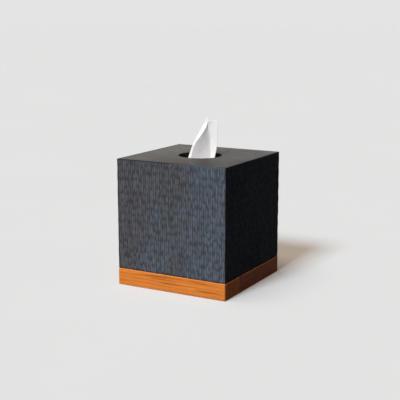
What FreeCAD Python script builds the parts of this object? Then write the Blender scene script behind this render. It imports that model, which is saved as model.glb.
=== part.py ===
import FreeCAD, Part
import Sketcher
import math
import os
import random

# A cube tissue box: a lift-off wooden cover, black and carved on its four sides, over a teak base board
# on which a standard cube carton of tissues stands. Millimetres. The origin is the middle of the base
# board's underside, +Z is up, and the front looks along -Y.

doc = FreeCAD.newDocument("tissue_box")
V = FreeCAD.Vector

# Driving dimensions
SIZES = {
    # the carton that the whole box is made round
    "carton_width": 110.0,
    "carton_depth": 110.0,
    "carton_height": 127.0,
    "card_thickness": 0.5,
    "carton_slack": 3.5,
    "carton_headroom": 1.5,
    # the oval opening in the carton's top, and the film glued under it
    "mouth_length": 78.0,
    "mouth_width": 46.0,
    "film_thickness": 0.15,
    "film_inset": 8.0,
    "slit_length": 54.0,
    "slit_gap": 27.0,
    # the pile of interleaved tissues
    "pile_slack": 1.0,
    "pile_headroom": 3.0,
    "pile_corner": 4.0,
    # the cover's boards
    "board_thickness": 10.0,
    "top_thickness": 10.0,
    "arris_easing": 0.9,
    "foot_easing": 0.8,
    "hole_diameter": 54.0,
    "hole_easing": 1.3,
    "hole_under_easing": 0.8,
    # the carving on the cover's four sides
    "stroke_width": 5.4,
    "stroke_length": 17.4,
    "stroke_depth": 0.62,
    "ridge_sink": 0.12,
    "carving_margin": 10.0,
    # the base board, glued up from four staves
    "base_height": 21.0,
    "base_proud": 0.2,
    "base_easing": 0.7,
    # the strips that centre the cover on the base
    "strip_width": 6.0,
    "strip_height": 8.0,
    "strip_slack": 0.5,
    "strip_lead": 1.5,
    # the tissue that stands in the hole
    "gather_clearance": 8.5,
    "gather_foot_sink": 3.2,
    "gather_turn": 29.0,
    "tissue_rise": 47.5,
    "paper_thickness": 0.6,
    "slit_end_slack": 12.0,
    "slit_side_slack": 3.8,
    "slit_turn": 17.0,
}

# Sizes that follow from the driving ones
FOLLOWING = {
    "cavity_width": "=carton_width + 2 * (carton_slack + strip_width + strip_slack)",
    "cavity_depth": "=carton_depth + 2 * (carton_slack + strip_width + strip_slack)",
    "cavity_height": "=carton_height + carton_headroom",
    "cover_width": "=cavity_width + 2 * board_thickness",
    "cover_depth": "=cavity_depth + 2 * board_thickness",
    "cover_height": "=cavity_height + top_thickness",
    "cover_top": "=base_height + cover_height",
    "base_width": "=cover_width + 2 * base_proud",
    "base_depth": "=cover_depth + 2 * base_proud",
    "stave_width": "=base_depth / 4",
    "film_height": "=base_height + carton_height - card_thickness - film_thickness",
    "film_width": "=carton_width - 2 * (card_thickness + film_inset)",
    "film_depth": "=carton_depth - 2 * (card_thickness + film_inset)",
    "pile_foot": "=base_height + card_thickness",
    "pile_top": "=film_height - pile_headroom",
    "pile_height": "=pile_top - pile_foot",
    "pile_width": "=carton_width - 2 * (card_thickness + pile_slack)",
    "pile_depth": "=carton_depth - 2 * (card_thickness + pile_slack)",
    "gather_reach": "=hole_diameter / 2 - gather_clearance",
}

sheet = doc.addObject("Spreadsheet::Sheet", "Sizes")
for row, (alias, value) in enumerate(list(SIZES.items()) + list(FOLLOWING.items()), start=1):
    sheet.set("A%d" % row, alias)
    sheet.set("B%d" % row, str(value))
    sheet.setAlias("B%d" % row, alias)
doc.recompute()


def size(alias):
    """The value of one cell of the sheet, in millimetres."""
    return float(getattr(sheet, alias))


# Helpers for bodies, sketches and features
def new_body(name, label):
    """An empty body with a name and a label of its own."""
    body = doc.addObject("PartDesign::Body", name)
    body.Label = label
    return body


def origin_plane(body, role):
    """One of a body's own origin planes, found by its role."""
    return next(plane for plane in body.Origin.OriginFeatures if plane.Role == role)


def new_sketch(body, name, role, offset=None):
    """A sketch on one of a body's origin planes, raised along its normal by an expression if one is given."""
    sketch = body.newObject("Sketcher::SketchObject", name)
    sketch.AttachmentSupport = (origin_plane(body, role), [""])
    sketch.MapMode = "FlatFace"
    if offset:
        sketch.setExpression("AttachmentOffset.Base.z", "Sizes." + offset)
    return sketch


def bind(sketch, constraint, expression):
    """Tie a sketch's dimension to the sheet."""
    index = sketch.addConstraint(constraint)
    sketch.setExpression("Constraints[%d]" % index, expression)


def draw_outline(sketch, points):
    """A closed outline through some points, each tied to the sketch's origin.

    points holds (x guess, y guess, x expression, y expression), where an expression of None means zero.
    """
    count = len(points)
    first = sketch.GeometryCount
    for index in range(count):
        here = points[index]
        there = points[(index + 1) % count]
        sketch.addGeometry(Part.LineSegment(V(here[0], here[1], 0), V(there[0], there[1], 0)), False)
    for index in range(count):
        following = first + (index + 1) % count
        sketch.addConstraint(Sketcher.Constraint("Coincident", first + index, 2, following, 1))
    for index, (x, y, x_rule, y_rule) in enumerate(points, start=first):
        if x_rule is None:
            sketch.addConstraint(Sketcher.Constraint("PointOnObject", index, 1, -2))
        else:
            bind(sketch, Sketcher.Constraint("DistanceX", -1, 1, index, 1, x), x_rule)
        if y_rule is None:
            sketch.addConstraint(Sketcher.Constraint("PointOnObject", index, 1, -1))
        else:
            bind(sketch, Sketcher.Constraint("DistanceY", -1, 1, index, 1, y), y_rule)


def draw_rectangle(sketch, width, depth, across, deep):
    """A rectangle about the origin; across and deep are the expressions of its two sizes."""
    left, right = "-(%s) / 2" % across, "(%s) / 2" % across
    near, far = "-(%s) / 2" % deep, "(%s) / 2" % deep
    corners = [(-width / 2, -depth / 2, left, near), (width / 2, -depth / 2, right, near),
               (width / 2, depth / 2, right, far), (-width / 2, depth / 2, left, far)]
    draw_outline(sketch, corners)


def pad(body, name, sketch, length, symmetric=False):
    """A pad of a sketch, as long as an expression says."""
    feature = body.newObject("PartDesign::Pad", name)
    feature.Profile = sketch
    feature.setExpression("Length", length)
    feature.Midplane = symmetric
    doc.recompute()
    return feature


def cut_through(body, name, sketch, both_ways=True):
    """A pocket of a sketch through the whole solid, which has to take some of it away."""
    before = body.Shape.Volume
    feature = body.newObject("PartDesign::Pocket", name)
    feature.Profile = sketch
    feature.Type = "ThroughAll"
    feature.Midplane = both_ways
    doc.recompute()
    if not body.Shape.Volume < before:
        raise RuntimeError(name + " takes nothing away")
    return feature


def ease(body, name, base, chosen, amount, kind="PartDesign::Chamfer", field="Size"):
    """A chamfer, or a feature of another kind, on those edges of a feature that chosen picks."""
    edges = ["Edge%d" % number for number, edge in enumerate(base.Shape.Edges, start=1) if chosen(edge)]
    if not edges:
        raise RuntimeError(name + " has no edge")
    feature = body.newObject(kind, name)
    feature.Base = (base, edges)
    feature.setExpression(field, amount)
    doc.recompute()
    return feature


def at_height(edge, height):
    """Whether an edge lies level at one height."""
    box = edge.BoundBox
    near = 1e-4
    return abs(box.ZMin - height) < near and abs(box.ZMax - height) < near


# The cover's outer form before it is carved: one block with its top arrises and lower edge eased
def build_cover_form():
    """The block whose outer faces the five boards share, resting on the base board's top."""
    body = new_body("CoverForm", "cover_form")
    outline = new_sketch(body, "CoverOutline", "XY_Plane")
    draw_rectangle(outline, size("cover_width"), size("cover_depth"), "Sizes.cover_width", "Sizes.cover_depth")
    block = pad(body, "CoverBlock", outline, "Sizes.cover_height")
    top = size("cover_height")
    eased = ease(body, "CoverArris", block, lambda edge: at_height(edge, top), "Sizes.arris_easing")
    ease(body, "CoverFoot", eased, lambda edge: at_height(edge, 0.0), "Sizes.foot_easing")
    body.setExpression("Placement.Base.z", "Sizes.base_height")
    return body


# One side of the cover: a board mitred at both ends and along its top
def build_side_form(name, label, across):
    """A mitred side board in its own frame: outer face on y = 0 looking along -Y, foot on z = 0."""
    body = new_body(name, label)
    length = size(across)
    wall = size("board_thickness")
    drop = size("top_thickness")
    tall = size("cover_height")
    half = "Sizes.%s / 2" % across
    inner = "Sizes.%s / 2 - Sizes.board_thickness" % across
    plan = new_sketch(body, name + "Plan", "XY_Plane")
    draw_outline(plan, [
        (-length / 2, 0.0, "-(%s)" % half, None),
        (length / 2, 0.0, half, None),
        (length / 2 - wall, wall, inner, "Sizes.board_thickness"),
        (wall - length / 2, wall, "-(%s)" % inner, "Sizes.board_thickness"),
    ])
    pad(body, name + "Board", plan, "Sizes.cover_height")
    # The YZ plane's own axes are the body's Y and Z
    mitre = new_sketch(body, name + "TopMitre", "YZ_Plane")
    draw_outline(mitre, [
        (0.0, tall, None, "Sizes.cover_height"),
        (wall, tall - drop, "Sizes.board_thickness", "Sizes.cover_height - Sizes.top_thickness"),
        (wall, tall + drop, "Sizes.board_thickness", "Sizes.cover_height + Sizes.top_thickness"),
        (0.0, tall + drop, None, "Sizes.cover_height + Sizes.top_thickness"),
    ])
    cut_through(body, name + "TopMitreCut", mitre)
    return body


# The carving: strokes set in staggered rows, each a narrow diamond sunk towards its middle
def carved_surface(across, tall, seed):
    """The facets of a carved face, as triangles of points with y as the depth below the board's face.

    The points stand on a lattice of half strokes. Where column and row add up to an even number the
    point is on the ridges between the strokes, and where they add up to an odd number it is the middle
    of a stroke. Every stroke is four facets from its middle to the four ridge points round it.
    """
    draw = random.Random(seed)
    margin = size("carving_margin")
    half_width = size("stroke_width") / 2
    half_length = size("stroke_length") / 2
    columns = 2 * math.ceil((across / 2 + margin) / half_width)
    rows = math.ceil((tall + 2 * margin) / half_length)
    ridge = size("ridge_sink")
    depth = size("stroke_depth")
    # How far a point may stray from its place, as shares of half a stroke's width, length and depth
    stray_across, stray_along, stray_deep = 0.28, 0.30, 0.24
    points = {}
    for column in range(columns + 1):
        for row_number in range(rows + 1):
            inside_across = 0 < column < columns
            inside_along = 0 < row_number < rows
            x = (column - columns / 2) * half_width
            z = row_number * half_length - margin
            x += draw.uniform(-1, 1) * stray_across * half_width * inside_across
            z += draw.uniform(-1, 1) * stray_along * half_length * inside_along
            is_middle = (column + row_number) % 2 == 1
            sunk = depth if is_middle else ridge
            points[column, row_number] = V(x, sunk * (1 + draw.uniform(-1, 1) * stray_deep), z)
    facets = []
    for (column, row_number), middle in points.items():
        if (column + row_number) % 2 == 0:
            continue
        ring = [(column + 1, row_number), (column, row_number + 1), (column - 1, row_number),
                (column, row_number - 1)]
        for first, second in zip(ring, ring[1:] + ring[:1]):
            if first in points and second in points:
                facets.append((middle, points[first], points[second]))
    rim = rim_of(points, columns, rows)
    return facets, rim


def rim_of(points, columns, rows):
    """The four sides of the lattice, each as its points in order, running round the face."""
    bottom = [points[column, 0] for column in range(columns + 1)]
    right = [points[columns, row_number] for row_number in range(rows + 1)]
    top = [points[column, rows] for column in range(columns, -1, -1)]
    left = [points[0, row_number] for row_number in range(rows, -1, -1)]
    return [bottom, right, top, left]


def closed_solid(faces):
    """A solid from faces whose edges meet, with its faces turned outwards."""
    sewn = Part.makeCompound(faces)
    sewn.sewShape()
    solid = Part.Solid(sewn.Shells[0])
    if solid.Volume < 0:
        solid.reverse()
    return solid


def flat_face(points):
    """A plane face with some points as its corners."""
    return Part.Face(Part.makePolygon(list(points) + [points[0]]))


def build_carving(name, across, seed):
    """The solid of all that is cut away from one side, from its carved surface outwards."""
    margin = size("carving_margin")
    facets, rim = carved_surface(size(across), size("cover_height"), seed)
    faces = [flat_face(facet) for facet in facets]
    for side in rim:
        start, end = side[0], side[-1]
        faces.append(flat_face(side + [V(end.x, -margin, end.z), V(start.x, -margin, start.z)]))
    outer = [V(side[0].x, -margin, side[0].z) for side in rim]
    faces.append(flat_face(outer))
    carving = doc.addObject("Part::Feature", name)
    carving.Label = name.lower()
    carving.Shape = closed_solid(faces)
    return carving


# The four sides: each is its form, limited by the cover's eased block and then carved
SIDES = [
    # label, size that it runs along, quarter turns about +Z, size that it stands across, carving seed
    ("front_panel", "cover_width", 0, "cover_depth", 11),
    ("right_panel", "cover_depth", 1, "cover_width", 23),
    ("back_panel", "cover_width", 2, "cover_depth", 37),
    ("left_panel", "cover_depth", 3, "cover_width", 53),
]


def stand_on_side(feature, quarter_turns, outward):
    """Turn a piece about +Z and set it outward from the middle by an expression, on the base board's top."""
    turn = 90.0 * quarter_turns
    outward_x = round(math.sin(math.radians(turn)))
    outward_y = -round(math.cos(math.radians(turn)))
    feature.Placement = FreeCAD.Placement(V(0, 0, 0), FreeCAD.Rotation(V(0, 0, 1), turn))
    if outward_x:
        feature.setExpression("Placement.Base.x", "%d * (%s)" % (outward_x, outward))
    if outward_y:
        feature.setExpression("Placement.Base.y", "%d * (%s)" % (outward_y, outward))
    feature.setExpression("Placement.Base.z", "Sizes.base_height")


def build_sides(cover_form):
    """The four carved boards."""
    panels = []
    for label, along, quarter_turns, across, seed in SIDES:
        stem = "".join(word.capitalize() for word in label.split("_"))
        form = build_side_form(stem + "Form", label + "_form", along)
        stand_on_side(form, quarter_turns, "Sizes.%s / 2" % across)
        carving = build_carving(stem + "Carving", along, seed)
        stand_on_side(carving, quarter_turns, "Sizes.%s / 2" % across)
        eased = doc.addObject("Part::Common", stem + "Eased")
        eased.Base = form
        eased.Tool = cover_form
        panel = doc.addObject("Part::Cut", stem)
        panel.Base = eased
        panel.Tool = carving
        panel.Label = label
        panels.append(panel)
    return panels


# The top board: mitred on its four sides, with the round hole that the tissue comes out of
def build_top(cover_form):
    """The top board, widest at its upper face, with its hole's two rims eased."""
    body = new_body("TopForm", "top_panel_form")
    upper = new_sketch(body, "TopUpper", "XY_Plane", "cover_height")
    draw_rectangle(upper, size("cover_width"), size("cover_depth"), "Sizes.cover_width", "Sizes.cover_depth")
    lower = new_sketch(body, "TopLower", "XY_Plane", "cavity_height")
    draw_rectangle(lower, size("cavity_width"), size("cavity_depth"), "Sizes.cavity_width",
                   "Sizes.cavity_depth")
    board = body.newObject("PartDesign::AdditiveLoft", "TopBoard")
    board.Profile = upper
    board.Sections = [lower]
    board.Ruled = True
    doc.recompute()
    circle = new_sketch(body, "HoleCircle", "XY_Plane")
    radius = size("hole_diameter") / 2
    circle.addGeometry(Part.Circle(V(0, 0, 0), V(0, 0, 1), radius), False)
    circle.addConstraint(Sketcher.Constraint("Coincident", 0, 3, -1, 1))
    bind(circle, Sketcher.Constraint("Diameter", 0, 2 * radius), "Sizes.hole_diameter")
    hole = cut_through(body, "Hole", circle)
    top, under = size("cover_height"), size("cavity_height")

    def is_rim(edge, height):
        return at_height(edge, height) and isinstance(edge.Curve, Part.Circle)

    eased = ease(body, "HoleRim", hole, lambda edge: is_rim(edge, top), "Sizes.hole_easing")
    ease(body, "HoleUnderRim", eased, lambda edge: is_rim(edge, under), "Sizes.hole_under_easing")
    body.setExpression("Placement.Base.z", "Sizes.base_height")
    panel = doc.addObject("Part::Common", "TopPanel")
    panel.Base = body
    panel.Tool = cover_form
    panel.Label = "top_panel"
    return [panel]


# The base board: one eased block parted into four staves that run from left to right
STAVES = ["base_stave_front", "base_stave_mid_front", "base_stave_mid_back", "base_stave_back"]


def build_base():
    """The four staves of the base board."""
    body = new_body("BaseForm", "base_form")
    outline = new_sketch(body, "BaseOutline", "XY_Plane")
    draw_rectangle(outline, size("base_width"), size("base_depth"), "Sizes.base_width", "Sizes.base_depth")
    block = pad(body, "BaseBlock", outline, "Sizes.base_height")
    ease(body, "BaseEasing", block, lambda edge: True, "Sizes.base_easing")
    staves = []
    for number, label in enumerate(STAVES):
        slice_box = doc.addObject("Part::Box", "StaveRoom%d" % number)
        slice_box.setExpression("Length", "Sizes.base_width")
        slice_box.setExpression("Width", "Sizes.stave_width")
        slice_box.setExpression("Height", "Sizes.base_height")
        slice_box.setExpression("Placement.Base.x", "-Sizes.base_width / 2")
        slice_box.setExpression("Placement.Base.y", "%d * Sizes.stave_width - Sizes.base_depth / 2" % number)
        stave = doc.addObject("Part::Common", "Stave%d" % number)
        stave.Base = body
        stave.Tool = slice_box
        stave.Label = label
        staves.append(stave)
    return staves


# The four strips on the base board that the cover drops over
STRIPS = [
    # label, quarter turns about +Z, length, distance of the outer face from the middle
    ("strip_front", 0, "cavity_width - 2 * Sizes.strip_slack", "cavity_depth"),
    ("strip_right", 1, "cavity_depth - 2 * (Sizes.strip_slack + Sizes.strip_width)", "cavity_width"),
    ("strip_back", 2, "cavity_width - 2 * Sizes.strip_slack", "cavity_depth"),
    ("strip_left", 3, "cavity_depth - 2 * (Sizes.strip_slack + Sizes.strip_width)", "cavity_width"),
]


def build_strips():
    """The strips, each with a sloped lead on its outer top edge."""
    strips = []
    wide, tall, lead = size("strip_width"), size("strip_height"), size("strip_lead")
    for label, quarter_turns, length, across in STRIPS:
        body = new_body("".join(word.capitalize() for word in label.split("_")), label)
        section = new_sketch(body, body.Name + "Section", "YZ_Plane")
        draw_outline(section, [
            (0.0, 0.0, None, None),
            (wide, 0.0, "Sizes.strip_width", None),
            (wide, tall, "Sizes.strip_width", "Sizes.strip_height"),
            (lead, tall, "Sizes.strip_lead", "Sizes.strip_height"),
            (0.0, tall - lead, None, "Sizes.strip_height - Sizes.strip_lead"),
        ])
        pad(body, body.Name + "Length", section, "Sizes." + length, symmetric=True)
        stand_on_side(body, quarter_turns, "Sizes.%s / 2 - Sizes.strip_slack" % across)
        strips.append(body)
    return strips


# The carton, its film and the pile of tissues
def draw_slot(sketch, length, width, along, across):
    """A slot about the origin with round ends; along and across are the expressions of its sizes."""
    radius = width / 2
    centre = (length - width) / 2
    first = sketch.GeometryCount
    up = V(0, 0, 1)
    quarter = math.pi / 2
    sketch.addGeometry(Part.ArcOfCircle(Part.Circle(V(centre, 0, 0), up, radius), -quarter, quarter), False)
    sketch.addGeometry(Part.LineSegment(V(centre, radius, 0), V(-centre, radius, 0)), False)
    sketch.addGeometry(Part.ArcOfCircle(Part.Circle(V(-centre, 0, 0), up, radius), quarter, 3 * quarter), False)
    sketch.addGeometry(Part.LineSegment(V(-centre, -radius, 0), V(centre, -radius, 0)), False)
    for index in range(4):
        following = (index + 1) % 4
        sketch.addConstraint(Sketcher.Constraint("Tangent", first + index, 2, first + following, 1))
    sketch.addConstraint(Sketcher.Constraint("PointOnObject", first, 3, -1))
    sketch.addConstraint(Sketcher.Constraint("PointOnObject", first + 2, 3, -1))
    bind(sketch, Sketcher.Constraint("DistanceX", -1, 1, first, 3, centre), "(%s - %s) / 2" % (along, across))
    bind(sketch, Sketcher.Constraint("DistanceX", first + 2, 3, -1, 1, centre),
         "(%s - %s) / 2" % (along, across))
    bind(sketch, Sketcher.Constraint("Radius", first, radius), "%s / 2" % across)


def draw_lens(sketch, length, gap, along, across):
    """A pointed oval about the origin, of two arcs that meet on the X axis."""
    half = length / 2
    rise = gap / 2
    radius = (half ** 2 + rise ** 2) / (2 * rise)
    drop = radius - rise
    swing = math.atan2(half, drop)
    up = V(0, 0, 1)
    quarter = math.pi / 2
    first = sketch.GeometryCount
    upper = Part.ArcOfCircle(Part.Circle(V(0, -drop, 0), up, radius), quarter - swing, quarter + swing)
    lower = Part.ArcOfCircle(Part.Circle(V(0, drop, 0), up, radius), 3 * quarter - swing, 3 * quarter + swing)
    sketch.addGeometry(upper, False)
    sketch.addGeometry(lower, False)
    sketch.addConstraint(Sketcher.Constraint("Coincident", first, 2, first + 1, 1))
    sketch.addConstraint(Sketcher.Constraint("Coincident", first + 1, 2, first, 1))
    sketch.addConstraint(Sketcher.Constraint("PointOnObject", first, 2, -1))
    sketch.addConstraint(Sketcher.Constraint("PointOnObject", first, 3, -2))
    bind(sketch, Sketcher.Constraint("DistanceX", -1, 1, first, 1, half), "%s / 2" % along)
    bind(sketch, Sketcher.Constraint("DistanceX", first, 2, -1, 1, half), "%s / 2" % along)
    rule = "((%s) ^ 2 + (%s) ^ 2) / (4 * %s)" % (along, across, across)
    bind(sketch, Sketcher.Constraint("Radius", first, radius), rule)
    bind(sketch, Sketcher.Constraint("Radius", first + 1, radius), rule)


def build_carton():
    """The folded card carton: four walls, a floor, and a top with its oval mouth."""
    body = new_body("TissueCarton", "tissue_carton")
    wide, deep, tall = size("carton_width"), size("carton_depth"), size("carton_height")
    card = size("card_thickness")
    walls = new_sketch(body, "CartonPlan", "XY_Plane")
    draw_rectangle(walls, wide, deep, "Sizes.carton_width", "Sizes.carton_depth")
    draw_rectangle(walls, wide - 2 * card, deep - 2 * card, "(Sizes.carton_width - 2 * Sizes.card_thickness)",
                   "(Sizes.carton_depth - 2 * Sizes.card_thickness)")
    pad(body, "CartonWalls", walls, "Sizes.carton_height")
    floor = new_sketch(body, "CartonFloorPlan", "XY_Plane")
    draw_rectangle(floor, wide, deep, "Sizes.carton_width", "Sizes.carton_depth")
    pad(body, "CartonFloor", floor, "Sizes.card_thickness")
    lid = new_sketch(body, "CartonTopPlan", "XY_Plane", "carton_height - Sizes.card_thickness")
    draw_rectangle(lid, wide, deep, "Sizes.carton_width", "Sizes.carton_depth")
    draw_slot(lid, size("mouth_length"), size("mouth_width"), "Sizes.mouth_length", "Sizes.mouth_width")
    pad(body, "CartonTop", lid, "Sizes.card_thickness")
    body.setExpression("Placement.Base.z", "Sizes.base_height")
    return body


def build_film():
    """The film under the carton's mouth, with its slit held open by the tissue."""
    body = new_body("CartonFilm", "carton_film")
    plan = new_sketch(body, "FilmPlan", "XY_Plane")
    draw_rectangle(plan, size("film_width"), size("film_depth"), "Sizes.film_width", "Sizes.film_depth")
    draw_lens(plan, size("slit_length"), size("slit_gap"), "Sizes.slit_length", "Sizes.slit_gap")
    pad(body, "Film", plan, "Sizes.film_thickness")
    body.setExpression("Placement.Base.z", "Sizes.film_height")
    return body


def build_pile():
    """The interleaved tissues, as one block with softened corners."""
    body = new_body("TissueStack", "tissue_stack")
    plan = new_sketch(body, "PilePlan", "XY_Plane")
    draw_rectangle(plan, size("pile_width"), size("pile_depth"), "Sizes.pile_width", "Sizes.pile_depth")
    block = pad(body, "Pile", plan, "Sizes.pile_height")

    def is_upright(edge):
        return edge.BoundBox.ZLength > size("pile_height") / 2

    ease(body, "PileCorners", block, is_upright, "Sizes.pile_corner", "PartDesign::Fillet", "Radius")
    body.setExpression("Placement.Base.z", "Sizes.pile_foot")
    return body


# The tissue: one sheet gathered into pleats, standing through the slit and the hole
class Fold:
    """One crease of the tissue, or one of its two side edges.

    Places are shares of the gather's reach across and towards the front, and heights are shares of the
    tissue's rise over the cover's top. A crease is straight from its foot to its head, or bent once at
    a knee.
    """

    def __init__(self, foot, head, knee=None):
        self.foot = foot
        self.head = head
        self.knee = knee


# From the left edge, over the creases that show from the front, and back through the hidden pleats
FOLDS = [
    Fold((-0.84, -0.05), (0.45, -0.22, 1.00)),
    Fold((-0.62, 0.32), (0.53, -0.08, 0.935), (0.49, -0.05, 0.82)),
    Fold((0.74, -0.32), (0.57, -0.08, 0.93), (0.53, -0.07, 0.82)),
    Fold((0.97, 0.11), (1.17, 0.25, 0.92)),
    Fold((0.80, -0.48), (1.00, -0.12, 0.80)),
    Fold((-0.46, -0.14), (0.46, -0.40, 0.74)),
    Fold((0.64, -0.70), (0.90, -0.36, 0.66)),
    Fold((-0.40, -0.42), (0.32, -0.62, 0.56)),
    Fold((0.30, -0.94), (0.56, -0.74, 0.46)),
]
# The rows between a crease's foot and its head, and the row that the knees stand on
RISING_ROWS = 3
KNEE_ROW = 2
# Where the gather leaves the pile it is this much wider and deeper than in the slit
PILE_SPREAD = (1.35, 1.7)
# The row at the creases' feet, above those at the pile and in the slit
FOOT_ROW = 2


def between(start, end, share):
    """The point that lies a share of the way from one point to another."""
    return tuple(low + (high - low) * share for low, high in zip(start, end))


def fold_point(fold, row_number):
    """A crease's place across, towards the front and up, on one of the rows from its foot to its head."""
    foot = fold.foot + (-size("gather_foot_sink") / size("tissue_rise"),)
    if fold.knee is None:
        return between(foot, fold.head, row_number / RISING_ROWS)
    if row_number <= KNEE_ROW:
        return between(foot, fold.knee, row_number / KNEE_ROW)
    return between(fold.knee, fold.head, (row_number - KNEE_ROW) / (RISING_ROWS - KNEE_ROW))


def squeezed_feet():
    """The creases' feet drawn together to pass the slit, in millimetres across and towards the front."""
    widest = max(abs(fold.foot[0]) for fold in FOLDS)
    nearest = max(fold.foot[1] for fold in FOLDS)
    furthest = min(fold.foot[1] for fold in FOLDS)
    middle, half = (nearest + furthest) / 2, (nearest - furthest) / 2
    along = (size("slit_length") / 2 - size("slit_end_slack")) / widest
    across = (size("slit_gap") / 2 - size("slit_side_slack")) / half
    return [(fold.foot[0] * along, (fold.foot[1] - middle) * across) for fold in FOLDS]


def turned(point, degrees):
    """A place across and towards the front, turned about +Z into the row's own X and Y."""
    angle = math.radians(degrees)
    across, front = point
    return (across * math.cos(angle) + front * math.sin(angle),
            across * math.sin(angle) - front * math.cos(angle))


def tissue_rows():
    """The gathered sheet's middle line at each level, from the pile up, as rows of X, Y and Z."""
    feet = squeezed_feet()
    wider, deeper = PILE_SPREAD
    spread = [(across * wider, front * deeper) for across, front in feet]
    slit_level = size("film_height") + size("film_thickness") / 2
    rows = []
    for plan, level in ((spread, size("pile_top")), (feet, slit_level)):
        rows.append([turned(point, size("slit_turn")) + (level,) for point in plan])
    reach = size("gather_reach")
    for row_number in range(RISING_ROWS + 1):
        row = []
        for fold in FOLDS:
            across, front, up = fold_point(fold, row_number)
            place = turned((across * reach, front * reach), size("gather_turn"))
            row.append(place + (size("cover_top") + up * size("tissue_rise"),))
        rows.append(row)
    return rows


def crossed(first, second):
    """The cross product of two plane directions: positive where the second lies to the first's left."""
    return first[0] * second[1] - first[1] * second[0]


def direction(start, end):
    """The unit direction between two points, seen from above."""
    run = (end[0] - start[0], end[1] - start[1])
    length = math.hypot(run[0], run[1])
    return (run[0] / length, run[1] / length)


# The inner point of a crease stands no further off than this many half thicknesses
LONGEST_INNER_REACH = 20.0


def skin_row(row, half, turns):
    """The two skins of one row, half a sheet's thickness to the left and right of its middle line.

    Each crease gives one point on its inner side, where the two offset lines meet, and two points on its
    outer side, square to the panels before and after it. Returns left and right, each a list with the
    points of every fold in a list of their own.
    """
    left, right = [], []
    last = len(row) - 1
    for index, (x, y, z) in enumerate(row):
        before = direction(row[index - 1], row[index]) if index > 0 else None
        after = direction(row[index], row[index + 1]) if index < last else None
        if before is None or after is None:
            run = after or before
            left.append([V(x - run[1] * half, y + run[0] * half, z)])
            right.append([V(x + run[1] * half, y - run[0] * half, z)])
            continue
        side = turns[index]
        square = [V(x - side * run[1] * half, y + side * run[0] * half, z) for run in (before, after)]
        # The inner point lies on the line that halves the crease's angle
        halving = (after[0] - before[0], after[1] - before[1])
        span = math.hypot(halving[0], halving[1])
        narrowness = abs(crossed(before, (halving[0] / span, halving[1] / span)))
        reach = half * min(1 / narrowness, LONGEST_INNER_REACH)
        inner = [V(x + halving[0] / span * reach, y + halving[1] / span * reach, z)]
        left.append(square if side > 0 else inner)
        right.append(inner if side > 0 else square)
    return left, right


def skin_facets(rows):
    """The facets of one skin of the sheet, from its rows of folds.

    Every panel is parted along the diagonal that rises from left to right, on both skins. So the sheet
    keeps its thickness where a panel is twisted, and its pleats bulge alike and stay clear of each other.
    """
    facets = []
    for low, high in zip(rows, rows[1:]):
        for index in range(len(low)):
            if len(low[index]) > 1:
                facets += parted(low[index] + high[index][::-1], True)
            if index + 1 < len(low):
                runs_right = FOLDS[index + 1].foot[0] > FOLDS[index].foot[0]
                corners = [low[index][-1], low[index + 1][0], high[index + 1][0], high[index][-1]]
                facets += parted(corners, runs_right)
    return facets


def parted(corners, from_first):
    """Two triangles for four corners, parted by the diagonal from the first corner or from the second."""
    if not from_first:
        corners = corners[1:] + corners[:1]
    return [corners[:3], [corners[0], corners[2], corners[3]]]


def side_edge(left_points, right_points):
    """The sheet's upright cut edge, from one point of each row on its left skin and on its right."""
    facets = []
    for index in range(len(left_points) - 1):
        corners = [left_points[index], right_points[index], right_points[index + 1], left_points[index + 1]]
        facets += parted(corners, True)
    return facets


def level_edge(left, right):
    """The sheet's cut edge along one row: two triangles for each panel and one for each crease."""
    facets = []
    for index in range(len(left) - 1):
        corners = [left[index][-1], left[index + 1][0], right[index + 1][0], right[index][-1]]
        facets += parted(corners, True)
    for outer, inner in zip(left, right):
        wide, narrow = (outer, inner) if len(outer) > 1 else (inner, outer)
        if len(wide) > 1:
            facets.append([wide[0], wide[1], narrow[0]])
    return facets


def build_tissue():
    """The tissue as a closed sheet of even thickness, in flat facets between its creases."""
    rows = tissue_rows()
    half = size("paper_thickness") / 2
    foot = rows[FOOT_ROW]
    turns = [0] * len(FOLDS)
    for index in range(1, len(FOLDS) - 1):
        bend = crossed(direction(foot[index - 1], foot[index]), direction(foot[index], foot[index + 1]))
        turns[index] = -1 if bend > 0 else 1
    skins = [skin_row(row, half, turns) for row in rows]
    left_rows = [left for left, right in skins]
    right_rows = [right for left, right in skins]
    facets = skin_facets(left_rows) + skin_facets(right_rows)
    facets += side_edge([row[0][0] for row in left_rows], [row[0][0] for row in right_rows])
    facets += side_edge([row[-1][-1] for row in left_rows], [row[-1][-1] for row in right_rows])
    facets += level_edge(left_rows[0], right_rows[0]) + level_edge(left_rows[-1], right_rows[-1])
    tissue = doc.addObject("Part::Feature", "Tissue")
    tissue.Label = "tissue"
    tissue.Shape = closed_solid([flat_face(facet) for facet in facets])
    return tissue


def check(pieces):
    """Stop if anything failed to rebuild or a piece's shape is missing or broken."""
    failed = [item.Label for item in doc.Objects if "Invalid" in item.State or "Error" in item.State]
    if failed:
        raise RuntimeError("failed: " + ", ".join(failed))
    for piece in pieces:
        if piece.Shape.isNull() or not piece.Shape.isValid() or not piece.Shape.Solids:
            raise RuntimeError(piece.Label + " has no sound shape")


def main():
    """Build every piece and write each one to its own file."""
    cover_form = build_cover_form()
    pieces = build_base() + build_strips() + build_sides(cover_form) + build_top(cover_form)
    pieces += [build_carton(), build_film(), build_pile(), build_tissue()]
    doc.recompute()
    check(pieces)
    os.makedirs("parts", exist_ok=True)
    for piece in pieces:
        piece.Shape.exportStep(os.path.join("parts", piece.Label + ".step"))
        print(piece.Label, len(piece.Shape.Solids), round(piece.Shape.Volume), len(piece.Shape.Faces))


main()
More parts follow.
